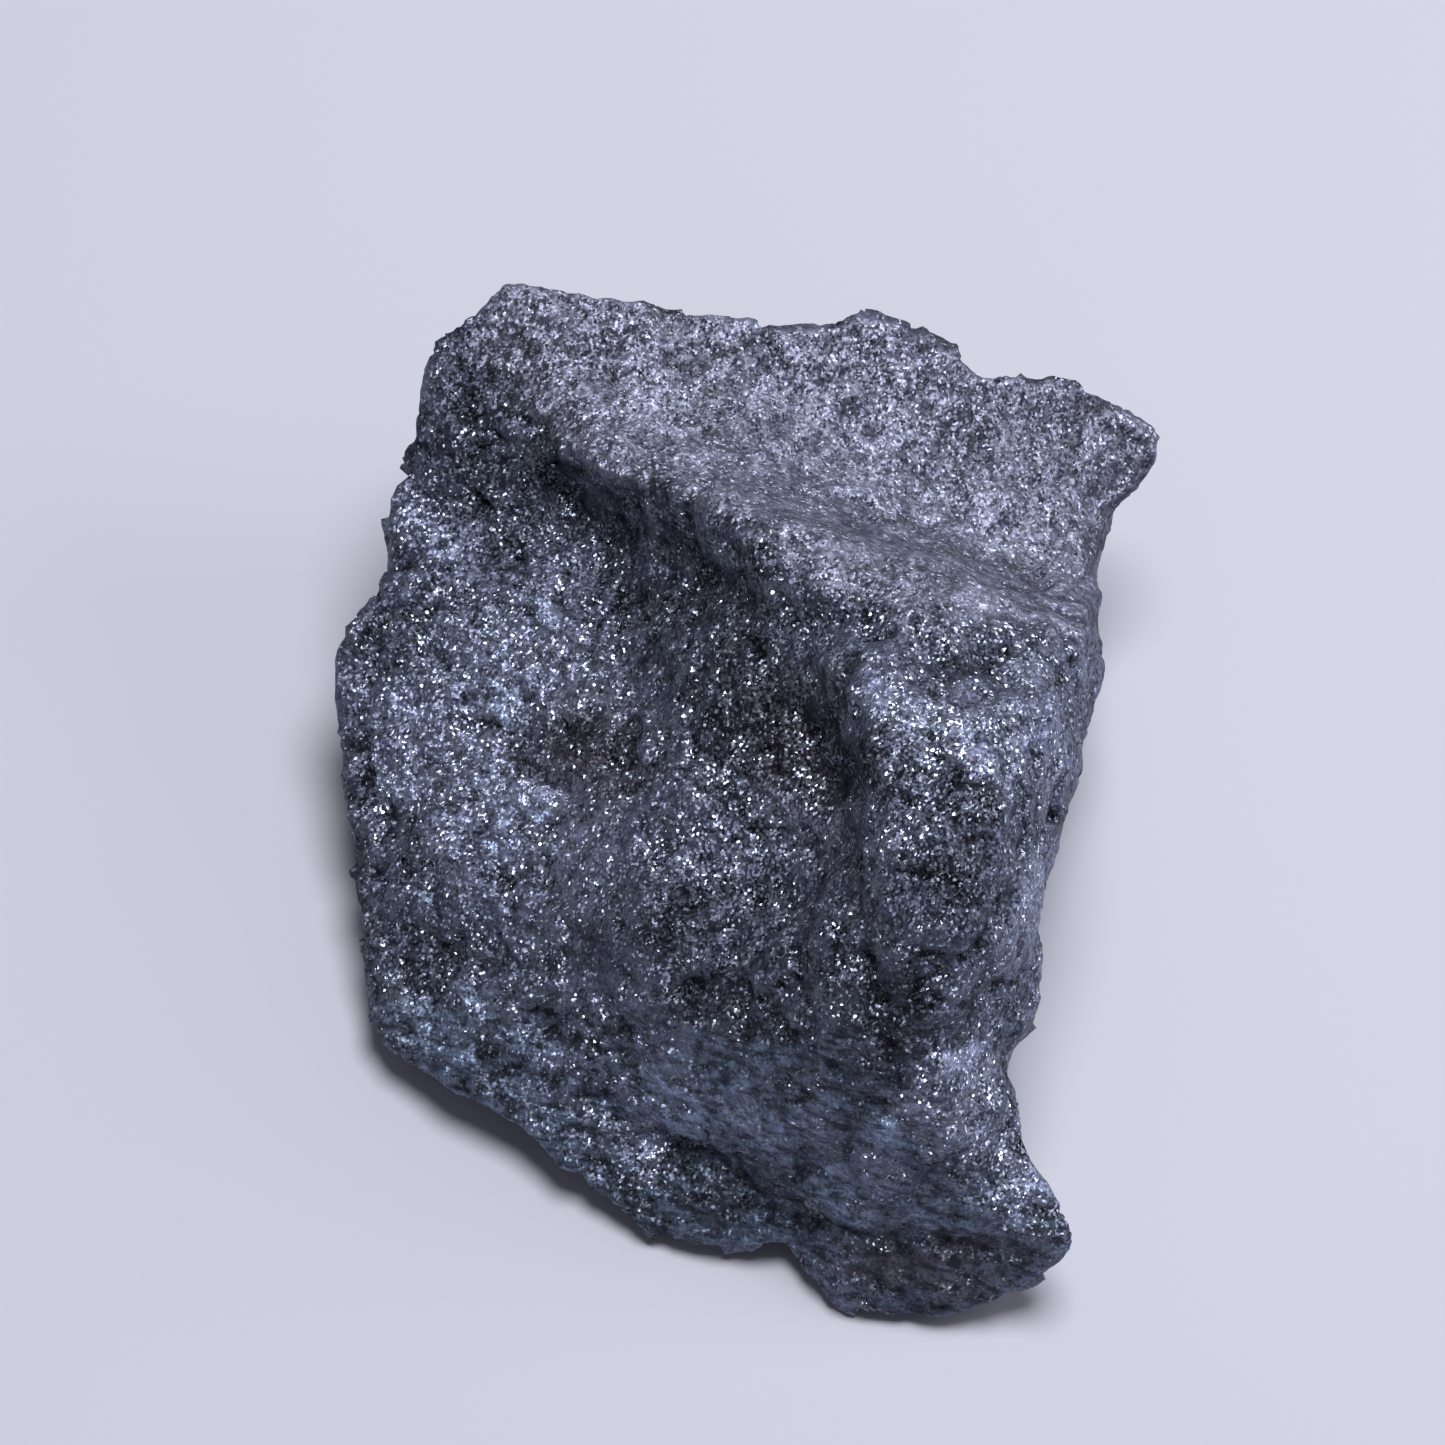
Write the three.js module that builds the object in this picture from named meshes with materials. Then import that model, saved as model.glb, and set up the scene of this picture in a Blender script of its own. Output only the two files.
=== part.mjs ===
// Hematite specimen: one broken lump of specular hematite, 62 x 72 mm and 37 mm high.
// It is a single solid. Its broken face slopes down to the front and carries a hump on the
// right, a crest behind the hump, a level terrace at the back and a long flank on the left.
// Millimetres, +Z up, +X right, +Y to the back; the origin is the middle of the seat.

import * as THREE from 'three';
import { mergeVertices } from 'three/addons/utils/BufferGeometryUtils.js';
import { ImprovedNoise } from 'three/addons/math/ImprovedNoise.js';

// ---- Driving dimensions ----

const FACE_LEAN = THREE.MathUtils.degToRad(30); // the face frame tips down towards the front
const FACE_HEIGHT = 27; // height of the face frame's own origin above the ground
const FACE_MIDDLE = new THREE.Vector2(0, -4); // the mesh starts out evenly around this point
const WALL_CURVE = 1.6; // over 1, a wall drops steeply first and turns in lower down
const MESH_DETAIL = 30; // 8 * (30 + 1)^2 = 7688 triangles
const SEAT_SHARE = 0.4; // share of the underside's rings that lie in the flat seat
const EVENING_PASSES = 60;
const EVENING_SHARE = 0.5; // how far each pass moves a mesh point
const ROUGHNESS = [
  { size: 8, height: 0.5 },
  { size: 4, height: 0.3 },
];
const SMOOTH_TO = 3; // the roughness dies out this close to the seat and to the rim
const STEEL_GREY = 0x4a4f5e;

// ---- The broken face ----
// Each point is [across, up the slope, out of the face plane] in the face frame.

const rim = [
  // back edge, from the left corner to the horn at the right
  [-15.5, 32.5, -17], [-11, 32, -16.5], [-5.5, 31, -16], [2, 30, -16], [5.5, 29, -16.5],
  [11, 30, -17], [15, 29, -17.5], [20, 26, -18], [24.5, 26, -18.5], [28, 24.5, -19],
  [33, 21, -20], [31.5, 18, -20],
  // right edge: along the terrace, up to the crest's end, then down past the hump
  [29.5, 15.5, -19], [28, 12.5, -17.5], [27.2, 9.5, -14.5], [26.2, 6.8, -0.5], [26.2, 1.5, 0],
  [24.5, -6, 1.5], [22.8, -11.5, 3], [23, -16, 2.5], [22.8, -19, 2], [21.4, -24.5, 2],
  [21.8, -29.5, 1.5], [24.8, -35.5, 0.5], [24.2, -38.8, -1.2],
  // front edge, close to the ground
  [20.5, -41.2, -3], [15.4, -43.3, -4.5], [11, -42.8, -5], [7.5, -41, -5], [5, -38.6, -5.4],
  [1.5, -38.2, -6.5], [-2, -38, -7.5], [-6.5, -36.5, -7.5], [-10, -33.5, -8],
  [-13, -31, -8.5], [-17.5, -28, -9.5], [-23, -25, -12], [-26, -22.5, -13],
  // left edge
  [-26, -19.5, -14], [-26.5, -15.5, -15], [-27.5, -10.5, -17], [-28.5, 1.5, -19],
  [-28.5, 6, -19], [-24.5, 11.5, -19], [-25, 14.5, -19], [-22.5, 22.5, -18],
  [-21, 28.5, -17.5], [-18, 30.5, -17],
];

const crest = [
  [-12, 20.5, -13], [-7.5, 18.5, -9], [-3, 16.8, -5], [1, 15.6, -1.5], [4, 14.4, 0],
  [8, 13.3, 0.5], [11, 12.3, 0.8], [14, 11.3, 1], [17, 10.2, 1], [20, 9, 0.5],
  [23, 7.8, 0],
];

const footBehindCrest = [
  [-1.5, 19, -9.5], [2.5, 17.8, -9.5], [5.5, 16.5, -10.5], [10, 15, -11.5],
  [14.5, 13.2, -12.5], [19, 11.7, -13.5], [23, 10.5, -14.5],
];

const terrace = [
  [-15, 28.5, -17], [-9, 25.5, -15.5], [-1.5, 26, -15], [-3, 21.5, -13.5],
  [5.5, 24, -15.5], [5, 20.5, -13], [11.5, 21, -16], [12, 18, -14.5], [19, 21, -17.5],
  [20.5, 16, -15.5], [25, 18.5, -18], [25.5, 13.5, -16.5],
];

const frontOfCrest = [
  [3, 12.3, 0], [5.9, 9.8, 2], [10, 8, 3.2], [15, 6.8, 4.2], [20, 6, 4],
];

const wallUnderCrest = [
  [-17, 18, -17.5], [-12, 16, -16.5], [-9, 13, -15.5], [-5.5, 13, -10.5],
  [-2.5, 12, -7.5], [-12, 11, -14.5], [-18.5, 12, -18], [-6, 9, -11.5], [-1.5, 9, -6.5],
];

const leftFlank = [
  [-21, 7.5, -16], [-15, 6, -14], [-9, 5.5, -11], [-4, 5, -6.5], [-19.5, 1, -15.5],
  [-12, 1, -12], [-6.5, 1, -7], [-24, -4, -16], [-18, -5, -12.5], [-12, -5, -9.5],
  [-7.5, -4, -5.5], [-23.5, -11.5, -13.5], [-18.5, -11.5, -10], [-12, -11.5, -6.5],
  [-7.5, -11.5, -2.5], [-17.5, -18, -9.5], [-11.5, -18, -5.5], [-9, -22, -5],
  [-4.5, -23, -2.5], [-11, -26.5, -7], [-5, -28, -5], [-5.5, -32, -7.5],
];

const spur = [
  [0.5, 11.5, -2], [1, 6, -0.5], [1.5, 1.5, 0], [1, -2.5, 0], [-3, -7, 0], [1, -10, 0.5],
  [-4.5, -14, 0], [0.5, -15.5, 1], [-4.5, -19, 0], [0.5, -20.5, 2], [1, -25, 1],
  [3.5, -28, 0.5], [7.5, -30.5, 1], [12.5, -32.5, 2],
];

const gully = [
  [5.5, 6.5, 0.5], [6.5, 3.5, 2], [7, -0.5, 2], [7.5, -5, 2], [7, -9, 2.5], [5.5, -13, 3],
];

const humpShoulder = [
  [8.5, 4.5, 5], [9, 1.5, 8.5], [9, -2.5, 9.5], [9.5, -7, 9.5], [9, -11, 9], [7.5, -15, 8.5],
  [6, -18.5, 7], [6, -22.5, 6], [9, -25.5, 6],
];

const hump = [
  [14, 4, 7.5], [19.5, 3.5, 7], [24, 3.5, 4], [14, 1.5, 10], [18.5, 0.5, 11],
  [23, 0.5, 7.5], [14, -4.5, 11.5], [18, -4.5, 13], [22.2, -4.5, 8], [13, -10.5, 12],
  [17.5, -10.5, 13], [20.5, -10.5, 9], [13, -16, 12], [17, -16, 12.5], [20.8, -16, 8],
  [12.5, -21, 10], [16.5, -21, 9.5], [14.5, -25, 8], [17, -25.5, 6.5], [11, -29, 5],
  [16, -29.5, 5.5],
];

const apron = [
  [5, -33, -2.5], [9, -35.5, -1], [14, -36.5, 0], [19, -37, 0.5], [22.5, -36, 1],
  [0.5, -34.5, -4.5], [9.5, -39, -3.5], [14, -40.3, -2.5], [18.5, -39.3, -1.5],
];

// ---- The underside ----
// The seat is the flat the stone rests on, [x, y], inside the rim all round.

const seat = [
  [-11, 23], [1, 25], [12, 23], [18, 15], [19.5, 4], [18.5, -10], [17.8, -22], [17.8, -28.5],
  [15.5, -32], [11, -30.5], [6.5, -27.5], [2, -24.5], [-5, -19.5], [-11, -13],
  [-16, -7], [-18, 2], [-17.5, 12], [-14.5, 19],
];

// Lumps and flats on the walls, where the stone broke around it: a lump stands out by
// "out" mm around its middle, and a flat cuts off all that is past it.

const lumps = [
  { middle: [27, 8, 12], radius: 7, out: 5 },
  { middle: [-4, 33, 12], radius: 9, out: 1.5 },
];

const flats = [
  { towards: [0.1, 0.92, -0.38], distance: 24 },
  { towards: [-0.75, 0.62, -0.4], distance: 26 },
];

// ---- Shape functions ----

function faceToWorld([across, up, out]) {
  const cos = Math.cos(FACE_LEAN);
  const sin = Math.sin(FACE_LEAN);
  return new THREE.Vector3(across, up * cos - out * sin, FACE_HEIGHT + up * sin + out * cos);
}

// Gauss elimination of a small dense system, in place.
function solve(matrix, values) {
  const n = values.length;
  for (let col = 0; col < n; col += 1) {
    let pivot = col;
    for (let row = col + 1; row < n; row += 1) {
      if (Math.abs(matrix[row][col]) > Math.abs(matrix[pivot][col])) pivot = row;
    }
    [matrix[col], matrix[pivot]] = [matrix[pivot], matrix[col]];
    [values[col], values[pivot]] = [values[pivot], values[col]];
    for (let row = col + 1; row < n; row += 1) {
      const factor = matrix[row][col] / matrix[col][col];
      for (let k = col; k < n; k += 1) matrix[row][k] -= factor * matrix[col][k];
      values[row] -= factor * values[col];
    }
  }
  const found = new Array(n).fill(0);
  for (let row = n - 1; row >= 0; row -= 1) {
    let sum = values[row];
    for (let k = row + 1; k < n; k += 1) sum -= matrix[row][k] * found[k];
    found[row] = sum / matrix[row][row];
  }
  return found;
}

// A sheet through all the given points: a sum of cones, one on each point.
function sheetThrough(points) {
  const n = points.length;
  const matrix = Array.from({ length: n + 1 }, () => new Array(n + 1).fill(0));
  for (let i = 0; i < n; i += 1) {
    for (let j = 0; j < n; j += 1) {
      matrix[i][j] = Math.hypot(points[i][0] - points[j][0], points[i][1] - points[j][1]);
    }
    matrix[i][n] = 1;
    matrix[n][i] = 1;
  }
  const weights = solve(matrix, [...points.map((point) => point[2]), 0]);
  return (across, up) => points.reduce(
    (sum, point, i) => sum + weights[i] * Math.hypot(across - point[0], up - point[1]),
    weights[n],
  );
}

const noise = new ImprovedNoise();

function roughness(point) {
  const fade = THREE.MathUtils.smoothstep(point.z, 0, SMOOTH_TO);
  return ROUGHNESS.reduce(
    (sum, { size, height }) => (
      sum + fade * height * noise.noise(point.x / size, point.y / size, point.z / size)
    ),
    0,
  );
}

const faceOut = sheetThrough([
  ...rim, ...crest, ...footBehindCrest, ...terrace, ...frontOfCrest, ...wallUnderCrest,
  ...leftFlank, ...spur, ...gully, ...humpShoulder, ...hump, ...apron,
]);

const rimCurve = new THREE.CatmullRomCurve3(
  rim.map((point) => new THREE.Vector3(...point)),
  true,
);
rimCurve.arcLengthDivisions = 1200;

// The seat's reach from the upright axis at each compass angle.
function outlineByAngle(corners) {
  const stops = corners
    .map(([x, y]) => ({ angle: Math.atan2(y, x), radius: Math.hypot(x, y) }))
    .sort((one, other) => one.angle - other.angle);
  const first = stops[0];
  const last = stops[stops.length - 1];
  stops.unshift({ ...last, angle: last.angle - 2 * Math.PI });
  stops.push({ ...first, angle: first.angle + 2 * Math.PI });
  return (angle) => {
    const next = stops.findIndex((stop) => stop.angle > angle);
    const [before, after] = [stops[next - 1], stops[next]];
    const share = (angle - before.angle) / (after.angle - before.angle);
    return THREE.MathUtils.lerp(before.radius, after.radius, share);
  };
}

const seatRadius = outlineByAngle(seat);

// A place on the walls or the seat: "share" runs round the rim, and "ring" from 1 at the
// rim to 0 at the middle of the seat.
function undersidePoint(share, ring) {
  const edge = faceToWorld(rimCurve.getPointAt(share).toArray());
  const angle = Math.atan2(edge.y, edge.x);
  const outward = new THREE.Vector3(Math.cos(angle), Math.sin(angle), 0);
  const seatEdge = seatRadius(angle);
  if (ring <= SEAT_SHARE) return outward.multiplyScalar((seatEdge * ring) / SEAT_SHARE);

  const drop = (1 - ring) / (1 - SEAT_SHARE);
  const rimRadius = Math.hypot(edge.x, edge.y);
  const radius = THREE.MathUtils.lerp(rimRadius, seatEdge, drop ** WALL_CURVE);
  const point = outward.clone().multiplyScalar(radius);
  point.z = edge.z * (1 - drop);
  for (const { middle, radius: reach, out } of lumps) {
    const away = point.distanceTo(new THREE.Vector3(...middle)) / reach;
    point.addScaledVector(outward, out * Math.exp(-away * away));
  }
  for (const { towards, distance } of flats) {
    const normal = new THREE.Vector3(...towards).normalize();
    const past = point.dot(normal) - distance;
    if (past > 0) point.addScaledVector(outward, -past / outward.dot(normal));
  }
  return point.addScaledVector(outward, roughness(point));
}

// ---- The mesh ----

// A ball's mesh, laid out anew: the top half becomes the face, in the face frame, the
// equator becomes the rim and the bottom half becomes the walls and the seat.
function layOut(ball) {
  const places = ball.getAttribute('position');
  const onFace = new Map();
  const fixed = new Map();
  for (let i = 0; i < places.count; i += 1) {
    const from = new THREE.Vector3().fromBufferAttribute(places, i);
    const share = (Math.atan2(from.z, from.x) / (2 * Math.PI) + 1) % 1;
    const ring = Math.sqrt(Math.max(0, 1 - Math.abs(from.y)));
    const edge = rimCurve.getPointAt(share);
    if (Math.abs(from.y) < 1e-6) {
      fixed.set(i, faceToWorld(edge.toArray()));
      onFace.set(i, edge);
    } else if (from.y > 0) {
      const flat = new THREE.Vector2(edge.x, edge.y).lerp(FACE_MIDDLE, 1 - ring);
      onFace.set(i, new THREE.Vector3(flat.x, flat.y, faceOut(flat.x, flat.y)));
    } else {
      fixed.set(i, undersidePoint(share, ring));
    }
  }
  return { onFace, fixed };
}

function neighboursOf(geometry) {
  const count = geometry.getAttribute('position').count;
  const neighbours = Array.from({ length: count }, () => new Set());
  const corners = geometry.index.array;
  for (let t = 0; t < corners.length; t += 3) {
    for (let side = 0; side < 3; side += 1) {
      const [one, other] = [corners[t + side], corners[t + ((side + 1) % 3)]];
      neighbours[one].add(other);
      neighbours[other].add(one);
    }
  }
  return neighbours;
}

// Draws each free mesh point of the face towards its farther neighbours, so that steep
// stretches get as many points as level ones.
function evenOut(onFace, neighbours, held) {
  for (let pass = 0; pass < EVENING_PASSES; pass += 1) {
    onFace.forEach((point, i) => {
      if (held.has(i)) return;
      const middle = new THREE.Vector3();
      let total = 0;
      neighbours[i].forEach((n) => {
        const weight = onFace.get(n).distanceTo(point);
        middle.addScaledVector(onFace.get(n), weight);
        total += weight;
      });
      point.lerp(middle.divideScalar(total), EVENING_SHARE);
      point.z = faceOut(point.x, point.y);
    });
  }
}

function makeGeometry() {
  const ball = new THREE.OctahedronGeometry(1, MESH_DETAIL);
  ball.deleteAttribute('normal');
  ball.deleteAttribute('uv');
  const geometry = mergeVertices(ball, 1e-5);
  const { onFace, fixed } = layOut(geometry);
  const neighbours = neighboursOf(geometry);
  const held = new Set([...onFace.keys()].filter((i) => fixed.has(i)));
  evenOut(onFace, neighbours, held);

  const places = geometry.getAttribute('position');
  const rimPoints = [...fixed.keys()].filter((i) => onFace.has(i)).map((i) => onFace.get(i));
  onFace.forEach((point, i) => {
    if (fixed.has(i)) return;
    const toRim = Math.min(...rimPoints.map((edge) => edge.distanceTo(point)));
    const fade = THREE.MathUtils.smoothstep(toRim, 0, SMOOTH_TO);
    const rough = fade * roughness(faceToWorld(point.toArray()));
    fixed.set(i, faceToWorld([point.x, point.y, point.z + rough]));
  });
  fixed.forEach((point, i) => places.setXYZ(i, point.x, point.y, point.z));
  geometry.computeBoundingBox();
  const middle = geometry.boundingBox.getCenter(new THREE.Vector3());
  geometry.translate(-middle.x, -middle.y, 0);
  geometry.computeVertexNormals();
  return geometry;
}

function makeStone() {
  const material = new THREE.MeshStandardMaterial({
    color: STEEL_GREY,
    roughness: 0.5,
    metalness: 0.6,
  });
  const stone = new THREE.Mesh(makeGeometry(), material);
  stone.name = 'hematite_stone';
  return stone;
}

const specimen = new THREE.Group();
specimen.add(makeStone());

export default specimen;
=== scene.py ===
"""Hematite specimen: a rough broken lump of specular hematite on a pale studio floor."""

import math

import bpy
import numpy as np
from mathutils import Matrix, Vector


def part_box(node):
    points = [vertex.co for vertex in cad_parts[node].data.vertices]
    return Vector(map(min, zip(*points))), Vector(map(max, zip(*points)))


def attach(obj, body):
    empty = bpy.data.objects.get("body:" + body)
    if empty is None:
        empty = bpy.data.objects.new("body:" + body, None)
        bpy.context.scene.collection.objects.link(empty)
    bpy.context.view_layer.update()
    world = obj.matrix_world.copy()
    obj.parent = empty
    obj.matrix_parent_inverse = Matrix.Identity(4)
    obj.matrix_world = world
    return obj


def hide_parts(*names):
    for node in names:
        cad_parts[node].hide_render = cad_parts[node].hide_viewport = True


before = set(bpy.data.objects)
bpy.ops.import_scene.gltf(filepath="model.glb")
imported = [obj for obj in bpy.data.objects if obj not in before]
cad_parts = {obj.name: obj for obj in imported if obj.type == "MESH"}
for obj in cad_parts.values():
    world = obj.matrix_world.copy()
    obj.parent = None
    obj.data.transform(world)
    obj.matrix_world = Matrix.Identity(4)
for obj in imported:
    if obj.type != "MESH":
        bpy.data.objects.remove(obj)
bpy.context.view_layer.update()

MM = 0.001
LEAN = math.radians(30)  # the broken face leans back by this much from the level
DIP = math.radians(-14)  # the layers' streaks run down to the right by this much
COS_LEAN, SIN_LEAN = math.cos(LEAN), math.sin(LEAN)
COS_DIP, SIN_DIP = math.cos(DIP), math.sin(DIP)
FACE_MIDDLE = np.array([-1.95, -0.9, 27.0])

# ---------------------------------------------------------------- noise

SEED = 11
TABLE = 512  # entries in each random table
LAST = TABLE - 1

rng = np.random.RandomState(SEED)
SHUFFLE = np.concatenate([rng.permutation(TABLE)] * 2)
SLOPES = rng.normal(size=(TABLE, 3))
SLOPES /= np.linalg.norm(SLOPES, axis=1, keepdims=True)
RANDOM = rng.rand(TABLE, 4)


def cell_hash(cell):
    """A table place for each whole-numbered cell."""
    x, y, z = (cell[..., i] & LAST for i in range(3))
    return SHUFFLE[(SHUFFLE[(SHUFFLE[x] + y) & LAST] + z) & LAST]


def perlin(points):
    """Gradient noise of N points, about -1 to 1."""
    low = np.floor(points).astype(int)
    part = points - low
    ease = part**3 * (part * (part * 6 - 15) + 10)
    total = np.zeros(len(points))
    for corner in np.ndindex(2, 2, 2):
        corner = np.array(corner)
        slope = SLOPES[cell_hash(low + corner)]
        weight = np.prod(np.where(corner == 1, ease, 1 - ease), axis=1)
        total += weight * np.einsum("ij,ij->i", slope, part - corner)
    return total * 1.6


def octaves(points, size, count, fade=0.5):
    """Perlin noise of several sizes, each half the size of the one before."""
    total = np.zeros(len(points))
    for i in range(count):
        total += fade**i * perlin(points / size * 2**i + 17.3 * i)
    return total


def ridges(points, size, count):
    """Noise with sharp crests, 0 to about 1."""
    total = np.zeros(len(points))
    for i in range(count):
        total += 0.5**i * (1 - 2 * np.abs(perlin(points / size * 2**i + 31.7 * i)))
    return total / 2


def cells(points, size):
    """Voronoi cells: each point's way from the nearest seed, in cells, and the four random
    numbers of that seed's cell."""
    scaled = points / size
    low = np.floor(scaled).astype(int)
    near = np.full(len(points), 9.0)
    way = np.zeros((len(points), 3))
    own = np.zeros((len(points), 4))
    for corner in np.ndindex(3, 3, 3):
        cell = low + np.array(corner) - 1
        key = cell_hash(cell)
        offset = scaled - cell - RANDOM[key, :3]
        distance = np.linalg.norm(offset, axis=1)
        closer = distance < near
        near = np.where(closer, distance, near)
        way[closer] = offset[closer]
        own[closer] = RANDOM[(key[closer] * 7 + 3) & LAST]
    return way, own


def facets(points, size, tilt):
    """A broken surface of tilted flat chips, each about size across."""
    way, own = cells(points, size)
    slope = (own[:, :3] - 0.5) * 2 * tilt
    level = tilt * size * (own[:, 3] - 0.5)
    return np.einsum("ij,ij->i", way * size, slope) + level


def step(values, low, high):
    """A soft step: 0 below low, 1 above high."""
    share = np.clip((values - low) / (high - low), 0, 1)
    return share * share * (3 - 2 * share)


# ---------------------------------------------------------------- the stone's mesh

EVEN_VOXEL = 0.5
FINE_VOXEL = 0.4
BOX_GAP = 0.01  # the surface stays this far inside the CAD box
FLOOR_GAP = 0.02

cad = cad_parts["hematite_stone"]
low_corner, high_corner = (np.array(corner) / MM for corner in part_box("hematite_stone"))


def applied(obj, kind, **settings):
    """Adds one modifier and applies it."""
    modifier = obj.modifiers.new(kind.lower(), kind)
    for key, value in settings.items():
        setattr(modifier, key, value)
    bpy.context.view_layer.objects.active = obj
    with bpy.context.temp_override(object=obj, active_object=obj, selected_objects=[obj]):
        bpy.ops.object.modifier_apply(modifier=modifier.name)


stone = bpy.data.objects.new("stone_surface", cad.data.copy())
bpy.context.scene.collection.objects.link(stone)
stone.data.materials.clear()
applied(stone, "REMESH", mode="VOXEL", voxel_size=EVEN_VOXEL * MM)
applied(stone, "SMOOTH", factor=0.5, iterations=5)
applied(stone, "REMESH", mode="VOXEL", voxel_size=FINE_VOXEL * MM)
print("stone mesh:", len(stone.data.vertices), "vertices", len(stone.data.polygons), "faces")

mesh = stone.data
count = len(mesh.vertices)
places = np.empty(count * 3)
mesh.vertices.foreach_get("co", places)
places = places.reshape(-1, 3) / MM
normals = np.array([vertex.normal for vertex in mesh.vertices])

# the face frame, about the middle of the broken face: across, up the slope, out of it
from_middle = places - FACE_MIDDLE
across = from_middle[:, 0]
up = from_middle[:, 1] * COS_LEAN + from_middle[:, 2] * SIN_LEAN
out = -from_middle[:, 1] * SIN_LEAN + from_middle[:, 2] * COS_LEAN
facing = -normals[:, 1] * SIN_LEAN + normals[:, 2] * COS_LEAN
on_face = step(facing, -0.1, 0.25)
seat = step(-normals[:, 2], 0.85, 0.97) * (1 - step(places[:, 2], 0.5, 2.0))


def patch(centre, radius, turn=0.0, squeeze=1.0):
    """A soft round or oval patch on the face: 1 in its middle. Turn is in degrees, and
    squeeze narrows it across its long way."""
    a, u = across - centre[0], up - centre[1]
    cos, sin = math.cos(math.radians(turn)), math.sin(math.radians(turn))
    along, aside = a * cos + u * sin, (u * cos - a * sin) * squeeze
    return np.exp(-(along**2 + aside**2) / radius**2) * on_face


def seam(corners, width):
    """A soft line on the face through the corners: 1 along its middle."""
    nearest = np.full(count, 1e3)
    for (a0, u0), (a1, u1) in zip(corners, corners[1:]):
        way = np.array([a1 - a0, u1 - u0])
        share = ((across - a0) * way[0] + (up - u0) * way[1]) / (way @ way)
        share = np.clip(share, 0, 1)
        distance = np.hypot(across - a0 - share * way[0], up - u0 - share * way[1])
        nearest = np.minimum(nearest, distance)
    return np.exp(-((nearest / width) ** 2)) * on_face


def behind(edge, low, high):
    """The part of the face up the slope from an edge."""
    return step(up - np.interp(across, *zip(*edge)), low, high) * on_face


# lines on the face, each through its corners (across, up)
CREST = [(-12, 20.5), (-7.5, 18.5), (-3, 16.8), (1, 15.6), (4, 14.4), (14, 11.3), (23, 7.8)]
SHOULDER = [(-12, 20), (-3, 16), (2, 13), (5.9, 9.8), (10, 8), (15, 6.8), (23, 6)]
BRINK = [(-60, 60), (-20, 32), (-16.5, 24), *SHOULDER, (40, 4)]
WALL = [(-13, 17.5), (-8, 14.5), (-3, 12), (1, 8.5)]
LIP = [(-9, -27.5), (-5, -31), (0, -32.5), (4.5, -36)]
TIP_EDGE = [(6, -36), (11, -37.2), (16, -37.5), (22, -38.3)]
GULLY = [(1, 9), (2, 4.5), (5.5, 0.5), (8, -3.5), (8, -8), (9.5, -13), (10.5, -19)]

# single hollows: middle on the face, radius, depth
PITS = [
    ((14.8, 4.6), 1.2, 0.8), ((18.2, 4.4), 1.3, 0.9), ((20, 3), 1.2, 1.0),
    ((-11.5, -5), 1.1, 0.8), ((-4.5, -30.5), 2.2, 0.8), ((7.6, -4), 1.5, 0.8),
    ((-4.5, -27), 1.6, 0.5), ((11, -19.5), 2.2, 0.7), ((15.5, -22), 1.6, 0.6),
    ((-20, -17), 1.8, 0.6), ((-13.5, -22), 2.2, 0.5), ((3, -9), 1.4, 0.5),
]
PIT_TURN, PIT_SQUEEZE = -20, 1.5

# small bites out of the rim: place, radius, depth; a negative depth swells the rim
NICKS = [
    ((4.4, -38.3), 1.2, 0.8), ((24.2, -37), 2.2, -0.6), ((8.5, -42), 1.6, -0.5),
    ((-9.5, -32.2), 1.2, 0.8), ((21, -24.5), 2.0, 0.8), ((29.5, 15.8), 2.2, 1.2),
    ((-23.6, 19), 1.2, 0.8),
]

# ---- relief, in millimetres along the normal

warp = np.stack([perlin(places / 3.1 + 5 * i) for i in range(3)], axis=1)
bent = places + 0.9 * warp
lumps = 0.35 * octaves(bent, 8.0, 3) + 0.5 * ridges(bent, 6.5, 2)
chips = facets(bent, 3.6, 0.12) + facets(bent + 40, 1.8, 0.13)
crumbs = 0.10 * ridges(bent, 1.7, 2) + 0.09 * perlin(places / 0.7)
fine = chips + crumbs
side_facets = facets(bent + 90, 7.0, 0.16)

# layers of the rock that crop out on the apron as long low streaks
along = across * COS_DIP + up * SIN_DIP
layer = up * COS_DIP - across * SIN_DIP
streaks = perlin(np.stack([along / 7, layer / 0.9, out / 5], axis=1))
smooth = step(-up, 18, 24)
streaked = smooth * on_face * (1 - step(across, 17, 22)) + 0.35 * patch((-14, 2), 9)

shelf = behind(BRINK, -1.5, 2.5)
at_rim = np.exp(-(((facing - 0.05) / 0.3) ** 2))
sides = (1 - on_face) * (1 - at_rim)
relief = lumps * (1 - 0.35 * shelf)
relief += fine * (1 - 0.55 * smooth) * (1 - 0.25 * shelf) * (1 - 0.5 * at_rim)
relief += 0.22 * streaks * streaked + sides * side_facets
relief += 0.35 * seam(CREST, 0.9) + 0.35 * seam(SHOULDER, 0.9)
relief -= 0.5 * seam(WALL, 2.0) + 0.5 * seam(GULLY, 1.6)
relief -= 0.7 * seam(LIP, 1.1) + 0.5 * seam(TIP_EDGE, 0.8)
for centre, radius, depth in PITS:
    relief -= depth * patch(centre, radius, PIT_TURN, PIT_SQUEEZE)
for (a, u), radius, depth in NICKS:
    relief -= depth * np.exp(-((across - a) ** 2 + (up - u) ** 2) / radius**2)
relief -= np.percentile(relief, 55)  # so that about half of it lies below the CAD surface
relief *= 1 - seat

moved = places + normals * relief[:, None]
moved = np.clip(moved, low_corner + BOX_GAP, high_corner - BOX_GAP)
moved[:, 2] = np.maximum(moved[:, 2], FLOOR_GAP)
mesh.vertices.foreach_set("co", (moved * MM).ravel())
for polygon in mesh.polygons:
    polygon.use_smooth = True
mesh.update()

# ---- painted attributes, 0 to 1 at each vertex


def paint(name, values):
    attribute = mesh.attributes.new(name, "FLOAT", "POINT")
    attribute.data.foreach_set("value", np.clip(values, 0, 1).astype(np.float32))


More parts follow.
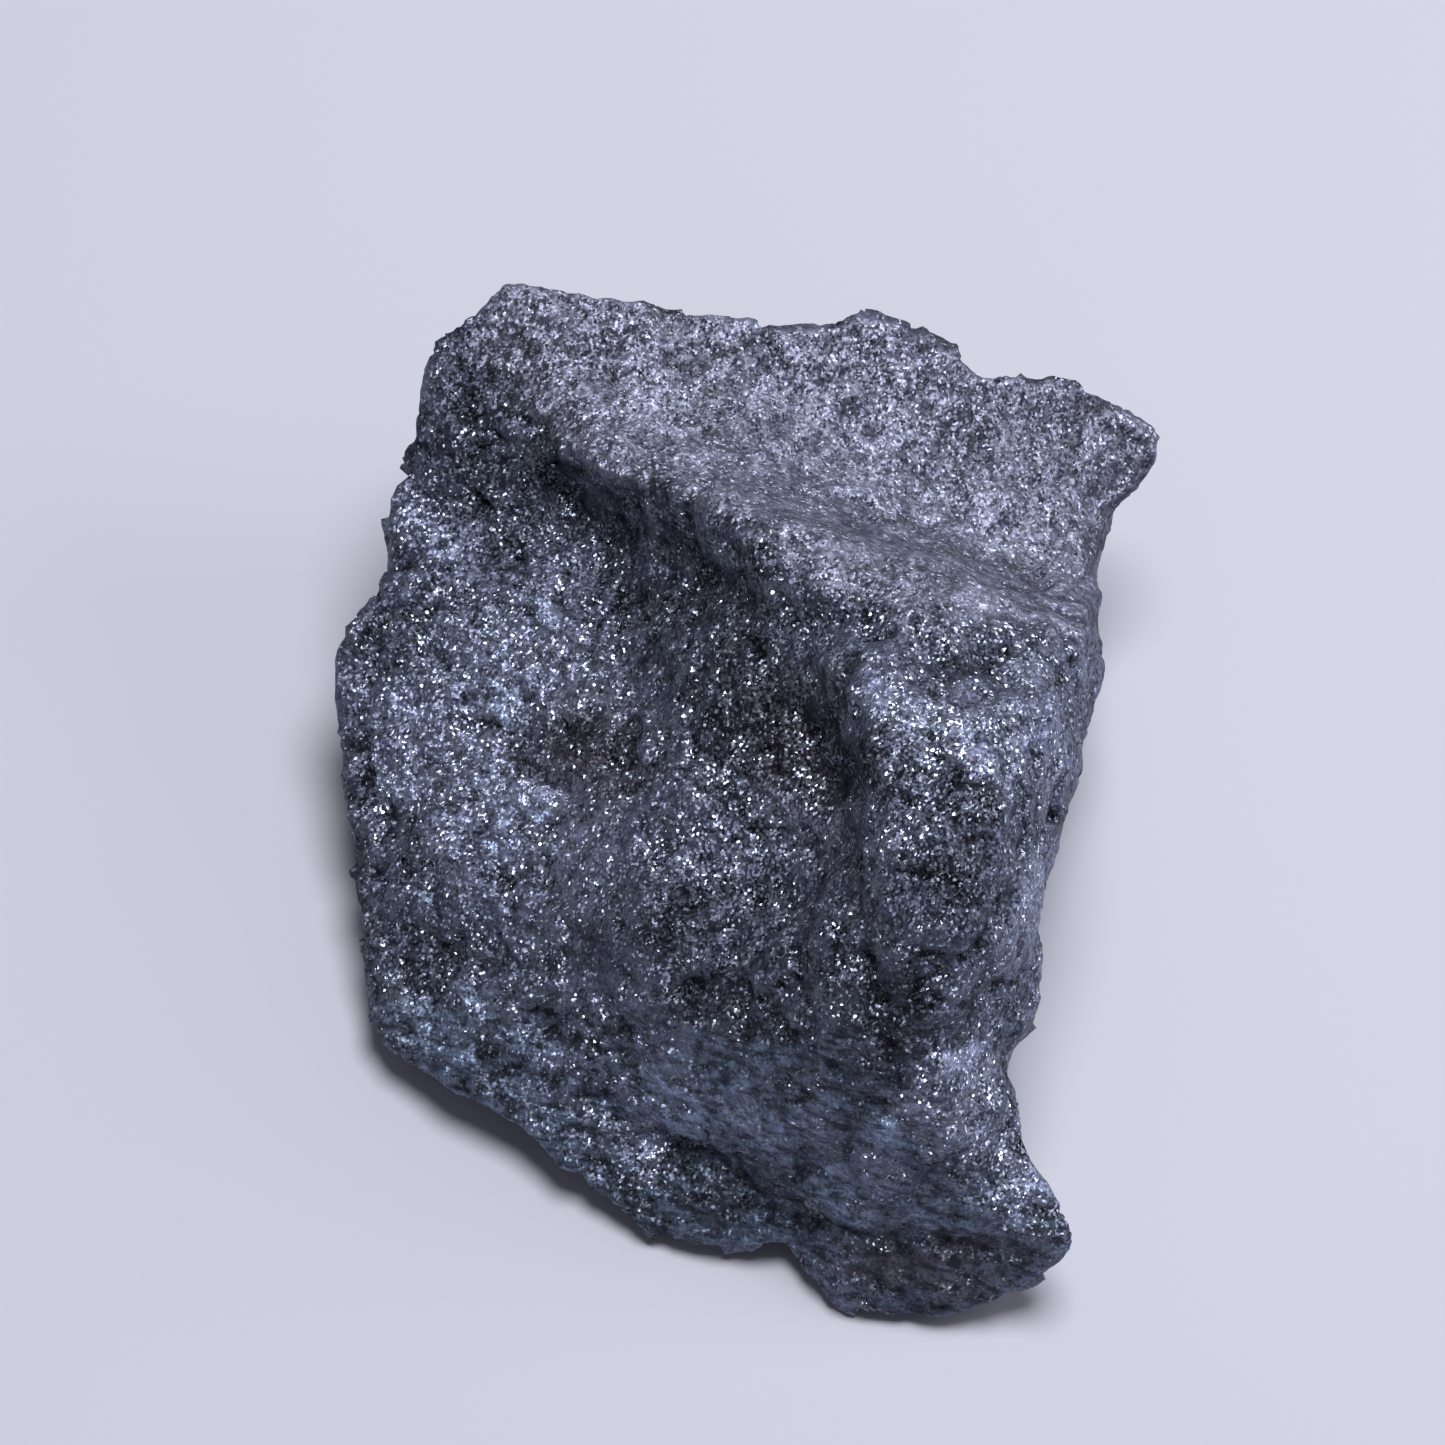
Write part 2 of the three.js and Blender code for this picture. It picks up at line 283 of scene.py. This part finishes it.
# from here on the face's places wander a little, so no patch of colour is a clean oval
WANDER = 1.5
across += WANDER * octaves(places, 5.0, 3)
up += WANDER * octaves(places + 70, 5.0, 3)

# soft areas of painted light and painted shade: middle on the face, long radius, turn,
# squeeze, strength
PAINTED_LIGHT_AREAS = [
    ((-16, -6), 7, -15, 1.3, 0.56), ((-13, 5.5), 6.5, -20, 1.4, 0.34),
    ((-20, 2), 5, 0, 1.2, 0.24), ((-21, 13.5), 2.2, 0, 1.0, 0.2),
    ((13.5, 1), 4.5, -35, 2.0, 0.34), ((19.5, -2), 3.5, -30, 1.3, 0.22),
    ((24.5, 0), 4.5, 80, 1.6, 0.16), ((17, -24), 2.2, 0, 1.2, 0.6),
    ((13.5, -27.5), 3, -40, 1.5, 0.25), ((21.5, -32), 4, -65, 1.8, 0.35),
    ((22, -15), 6, 90, 2.4, 0.3), ((-22, -21), 5, -40, 2.0, 0.12),
    ((-11, 0.8), 3, 20, 1.5, 0.2), ((13, 16), 8, -15, 2.2, 0.06),
    ((0, 18.5), 9, -17, 2.6, 0.05), ((-10, -24), 7, -20, 1.8, 0.26),
    ((19, 8), 7, -17, 2.2, 0.1), ((23, -35), 2.6, -70, 1.5, 0.08),
    ((-6, -30.3), 1.6, -30, 1.3, 0.5), ((0, -27), 8, -14, 2.0, 0.1),
    ((12, -32), 7, -14, 1.8, 0.1), ((-3, -6.5), 2.5, -30, 1.5, 0.16),
    ((4, -9.5), 3, -10, 1.5, 0.12),
]
# painted shade
PAINTED_SHADE_AREAS = [
    ((-10.5, -2.2), 4.0, -15, 1.8, 0.28), ((5, 1.5), 5.5, -60, 1.5, 0.3),
    ((7.5, -4), 3.6, 0, 1.2, 0.14), ((-22, -13), 5, 90, 1.6, 0.07),
    ((16, -12), 6.5, 90, 1.3, 0.24), ((12, -22), 3.5, 0, 1.3, 0.3),
    ((0, -18), 6, 0, 1.4, 0.14), ((13, -39), 8, -3, 3.2, 0.04),
    ((-1, -35), 6, -30, 2.8, 0.06), ((-18, 24), 4.5, 60, 1.4, 0.08),
    ((-19, 18), 5, -20, 1.5, 0.18), ((5, -14), 4, 60, 1.4, 0.12),
    ((16.5, 4.3), 4, -14, 3.0, 0.3), ((-3, -13), 6, 0, 1.5, 0.16),
    ((-1, 2), 5, -40, 1.4, 0.16), ((-6, 9), 4, -40, 1.6, 0.1), ((-14, 27), 5, 0, 1.0, 0.1),
]

apron = step(-up, 17, 25) * on_face
terrace = behind(BRINK, -1.0, 1.8)

# painted light and painted shade, laid over a random tone from the noise
painted_light_and_tone = 0.52 + 0.13 * octaves(places, 4.0, 4, 0.7) * (1 - 0.6 * terrace)
# painted shade in the wall under the crest, in the gully, and in the creases of the lip and
# the tip edge
painted_light_and_tone -= 0.19 * seam(WALL, 3.2) + 0.12 * seam(GULLY, 2.0)
painted_light_and_tone -= 0.2 * seam(LIP, 1.0) + 0.15 * seam(TIP_EDGE, 0.8)
for sign, areas in ((1, PAINTED_LIGHT_AREAS), (-1, PAINTED_SHADE_AREAS)):
    for middle, radius, turn, squeeze, strength in areas:
        painted_light_and_tone += sign * strength * patch(middle, radius, turn, squeeze)

# the dull bluish coating on the apron; the patches on the left side are painted cool light
coat_and_cool_light = 0.95 * apron + 0.6 * patch((-16, -6), 8)
coat_and_cool_light += 0.5 * patch((-15, 6), 8) + 0.5 * patch((-22, -18), 8)
coat_and_cool_light *= 1 - 0.9 * patch((19, -28), 7, -60, 1.5)
coat_and_cool_light *= 1 - 0.8 * patch((-6, -30), 2.5, -30, 1.3)

crisp = patch((3, -3), 11, 100, 1.5) + patch((18, -4), 9) + 0.6 * patch((19, -30), 6)
crisp += patch((17, -25), 4) + 0.6 * seam(WALL, 3)

# brown: the stone's own brown, and on the lower lip a painted warm reflection
brown_and_warm_reflection = patch((5, -2), 6, -70, 1.6) + patch((-10, -2), 4) + 0.8 * patch((14, -39), 7, 0, 3)

PAINTED = {
    "hollow_shade": 0.5 - fine / 0.8,  # low places between the chips, darkened as painted shade
    "painted_light_and_tone": painted_light_and_tone,  # how light the stone is drawn: random tone with painted light and painted shade
    "coat_and_cool_light": coat_and_cool_light,  # the dull bluish coating, and painted cool light on the left side
    "terrace": terrace,  # the shelf at the back, painted lighter as lit from above
    "crisp": crisp,  # where the flakes flash most
    "brown_and_warm_reflection": brown_and_warm_reflection,  # where the grey turns brown, partly a painted warm reflection
}
for name, values in PAINTED.items():
    paint(name, values)

# ---------------------------------------------------------------- material


class Nodes:
    """Builds the nodes of one material; an input is a socket to link or a plain value."""

    def __init__(self, material):
        material.use_nodes = True
        self.tree = material.node_tree
        self.tree.nodes.clear()

    def add(self, kind, inputs=(), **settings):
        node = self.tree.nodes.new(kind)
        for key, value in settings.items():
            setattr(node, key, value)
        for key, value in dict(inputs).items():
            socket = node.inputs[key]
            if isinstance(value, bpy.types.NodeSocket):
                self.tree.links.new(value, socket)
            else:
                socket.default_value = value
        return node

    def math(self, operation, a, b=0.0, c=0.0):
        node = self.add("ShaderNodeMath", {0: a, 1: b, 2: c}, operation=operation)
        return node.outputs[0]

    def spread(self, value, low, high, to_low=0.0, to_high=1.0):
        node = self.add(
            "ShaderNodeMapRange", {0: value, 1: low, 2: high, 3: to_low, 4: to_high}
        )
        return node.outputs[0]

    def mix(self, share, a, b):
        node = self.add("ShaderNodeMix", {0: share, 6: a, 7: b}, data_type="RGBA")
        return node.outputs[2]

    def noise(self, vector, scale, detail):
        node = self.add(
            "ShaderNodeTexNoise", {"Vector": vector, "Scale": scale, "Detail": detail}
        )
        return node.outputs[0]

    def vector(self, operation, a, b=(0, 0, 0)):
        node = self.add("ShaderNodeVectorMath", {0: a, 1: b}, operation=operation)
        return node.outputs[0]

    def scaled(self, vector, factor):
        node = self.add("ShaderNodeVectorMath", {0: vector, 3: factor}, operation="SCALE")
        return node.outputs[0]

    def dot(self, vector, way, scale):
        node = self.add("ShaderNodeVectorMath", {0: vector, 1: way}, operation="DOT_PRODUCT")
        return self.math("MULTIPLY", node.outputs["Value"], scale)


def flakes(nodes, coords, size, tilt):
    """Random flat mirrors, size across: the way each one leans, and its random colour."""
    texture = nodes.add(
        "ShaderNodeTexVoronoi", {"Vector": coords, "Scale": 1 / (size * MM), "Randomness": 1.0}
    )
    colour = texture.outputs["Color"]
    lean = nodes.vector("SUBTRACT", colour, (0.5, 0.5, 0.5))
    return nodes.scaled(lean, tilt), colour


# sizes across, in millimetres
FLAKE, COARSE_FLAKE = 0.19, 0.42
GRAIN, GRAIN_DEPTH = 1.1, 0.25
CLUMP = 2.4
STREAK_LENGTH, STREAK_WIDTH, STREAK_DEPTH = 4.0, 1.3, 4.0

DARK = (0.012, 0.0125, 0.018, 1)
STEEL = (0.148, 0.162, 0.231, 1)
BLUE = (0.162, 0.205, 0.294, 1)
# the back shelf's mauve, made lighter as painted light from above
LIT_MAUVE = (0.225, 0.227, 0.305, 1)
BROWN = (0.115, 0.100, 0.125, 1)
GLINT = (0.33, 0.36, 0.45)

hematite = bpy.data.materials.new("specular_hematite")
n = Nodes(hematite)
coords = n.add("ShaderNodeTexCoord").outputs["Object"]
hollow_shade, painted_light_and_tone, coat_and_cool_light, terrace, crisp, brown_and_warm_reflection = (
    n.add("ShaderNodeAttribute", attribute_name=name).outputs["Fac"] for name in PAINTED
)

# the coating and the painted cool light lie in patches drawn out along the layers
streak_axes = [
    n.dot(coords, way, 1 / (size * MM))
    for way, size in (
        ((COS_DIP, SIN_DIP * COS_LEAN, SIN_DIP * SIN_LEAN), STREAK_LENGTH),
        ((-SIN_DIP, COS_DIP * COS_LEAN, COS_DIP * SIN_LEAN), STREAK_WIDTH),
        ((0, -SIN_LEAN, COS_LEAN), STREAK_DEPTH),
    )
]
drawn = n.add("ShaderNodeCombineXYZ", dict(enumerate(streak_axes))).outputs[0]
patchy = n.noise(drawn, 1.0, 5.0)
coated_and_cool_lit = n.spread(n.math("MULTIPLY_ADD", patchy, 2.2, n.math("ADD", coat_and_cool_light, -1.85)), -0.1, 0.3)
specks = n.spread(n.noise(n.scaled(drawn, 2.6), 1.0, 4.0), 0.4, 0.52)
calm = n.math("MAXIMUM", coated_and_cool_lit, n.math("MULTIPLY", terrace, 0.6))

# fine relief under the flakes, evened out towards the face's own direction
grain = n.noise(coords, 1 / (GRAIN * MM), 5.0)
grain_share = n.spread(terrace, 0, 1, 0.8, 0.4)
bump = n.add(
    "ShaderNodeBump", {"Strength": grain_share, "Distance": GRAIN_DEPTH * MM, "Height": grain}
)
facing_out = n.scaled((0, -SIN_LEAN, COS_LEAN), n.spread(terrace, 0, 1, 0.35, 0.7))
rough_normal = n.vector("NORMALIZE", n.vector("ADD", bump.outputs[0], facing_out))

# each flake leans its own way
lean, chance = flakes(n, coords, FLAKE, 1.0)
coarse_lean, _ = flakes(n, coords, COARSE_FLAKE, 0.45)
lean = n.scaled(lean, n.spread(calm, 0, 1, 1.05, 0.5))
leaning = n.vector("ADD", n.vector("ADD", rough_normal, lean), coarse_lean)
flake_normal = n.vector("NORMALIZE", leaning)

# some flakes are clean mirrors, and these gather in clumps and in the areas of painted light
parts = n.add("ShaderNodeSeparateColor", {0: chance})
pick, own_tone = parts.outputs[2], parts.outputs[1]
clumps = n.spread(n.noise(coords, 1 / (CLUMP * MM), 3.0), 0.36, 0.6)
clumps = n.math("MAXIMUM", clumps, n.math("MULTIPLY", terrace, 0.6))
gathered = n.math(
    "ADD", n.spread(clumps, 0, 1, -0.34, 0.06), n.spread(painted_light_and_tone, 0.2, 1, -0.15, 0.15)
)
gathered = n.math("MULTIPLY_ADD", crisp, 0.08, gathered)
mirror = n.spread(n.math("ADD", pick, gathered), 0.55, 0.85)
mirror = n.math("MULTIPLY", mirror, n.spread(calm, 0, 1, 1.0, 0.35))

# tone runs from the hollows, 0, darkened as painted shade, to the light places, 1
tone_with_painted_shade = n.spread(n.math("MULTIPLY_ADD", hollow_shade, -0.35, grain), 0.08, 0.5)
tone_with_painted_shade = n.math("MULTIPLY", tone_with_painted_shade, n.spread(own_tone, 0, 1, 0.4, 1.2))
# painted light: the back shelf is kept light
tone_with_painted_shade = n.math("MAXIMUM", tone_with_painted_shade, n.math("MULTIPLY", terrace, 0.26))
bare = n.math("SUBTRACT", 1.0, coat_and_cool_light)
tone_with_painted_shade = n.math("MULTIPLY", tone_with_painted_shade, n.math("MAXIMUM", n.spread(specks, 0, 1, 0.3, 1), bare))

# blue where coated and where cool light is painted
light_tone = n.mix(coated_and_cool_lit, STEEL, BLUE)
light_tone = n.mix(terrace, light_tone, LIT_MAUVE)
light_tone = n.mix(brown_and_warm_reflection, light_tone, BROWN)
# painted light and painted shade scale the colour between the flakes
lit = n.math("MULTIPLY", n.math("POWER", 14.0, painted_light_and_tone), 0.35)
between_flakes = n.scaled(n.mix(tone_with_painted_shade, DARK, light_tone), lit)

# the mirrors' colour also grows with the painted light
flash = n.math("MULTIPLY_ADD", crisp, 0.35, n.spread(painted_light_and_tone, 0, 1, 0.3, 1.0))
flash = n.math("MULTIPLY", flash, n.spread(terrace, 0, 1, 1.0, 0.8))
surface = n.add(
    "ShaderNodeBsdfPrincipled",
    {
        "Base Color": n.mix(mirror, between_flakes, n.scaled(GLINT, flash)),
        "Metallic": 0.85,
        "Roughness": n.spread(mirror, 0, 1, 0.55, 0.28),
        "Normal": flake_normal,
    },
)
n.add("ShaderNodeOutputMaterial", {"Surface": surface.outputs[0]})
mesh.materials.append(hematite)

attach(stone, "root")
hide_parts("hematite_stone")

# ---------------------------------------------------------------- studio

REACH = 3.0  # half of the floor's width, in metres

floor_mesh = bpy.data.meshes.new("floor")
floor_mesh.from_pydata(
    [(-REACH, -REACH, 0), (REACH, -REACH, 0), (REACH, REACH, 0), (-REACH, REACH, 0)],
    [],
    [(0, 1, 2, 3)],
)
floor = bpy.data.objects.new("floor", floor_mesh)
bpy.context.scene.collection.objects.link(floor)
paper = bpy.data.materials.new("pale_paper")
p = Nodes(paper)
paper_surface = p.add(
    "ShaderNodeBsdfPrincipled",
    {"Base Color": (0.575, 0.565, 0.625, 1), "Roughness": 0.9, "Specular IOR Level": 0.1},
)
p.add("ShaderNodeOutputMaterial", {"Surface": paper_surface.outputs[0]})
floor_mesh.materials.append(paper)

world = bpy.data.worlds.new("studio")
world.use_nodes = True
background = world.node_tree.nodes["Background"]
background.inputs["Color"].default_value = (0.84, 0.88, 1.0, 1)
background.inputs["Strength"].default_value = 0.14
bpy.context.scene.world = world

LIT_POINT = Vector((0, 0, 0.02))


def area_light(name, place, size, power, colour):
    data = bpy.data.lights.new(name, "AREA")
    data.shape = "DISK"
    data.size = size
    data.energy = power
    data.color = colour
    lamp = bpy.data.objects.new(name, data)
    lamp.location = place
    lamp.rotation_euler = (LIT_POINT - Vector(place)).to_track_quat("-Z", "Y").to_euler()
    bpy.context.scene.collection.objects.link(lamp)


area_light("soft_top", (0.12, 0.1, 0.9), 0.45, 8.7, (0.93, 0.95, 1.0))
area_light("soft_side", (0.72, 0.05, 0.45), 0.4, 1.5, (0.88, 0.93, 1.0))

TARGET = Vector(FACE_MIDDLE) * MM
ELEVATION = math.radians(60)
DISTANCE = 480  # from the camera to the middle of the face
FRAMED = 103.2  # the picture's width there
SENSOR = 36

camera_data = bpy.data.cameras.new("camera")
camera_data.sensor_width = SENSOR
camera_data.lens = SENSOR * DISTANCE / FRAMED
camera = bpy.data.objects.new("camera", camera_data)
way_back = Vector((0, -math.cos(ELEVATION), math.sin(ELEVATION)))
camera.location = TARGET + DISTANCE * MM * way_back
camera.rotation_euler = (math.pi / 2 - ELEVATION, 0, 0)
bpy.context.scene.collection.objects.link(camera)
bpy.context.scene.camera = camera
bpy.context.scene.view_settings.view_transform = "Standard"
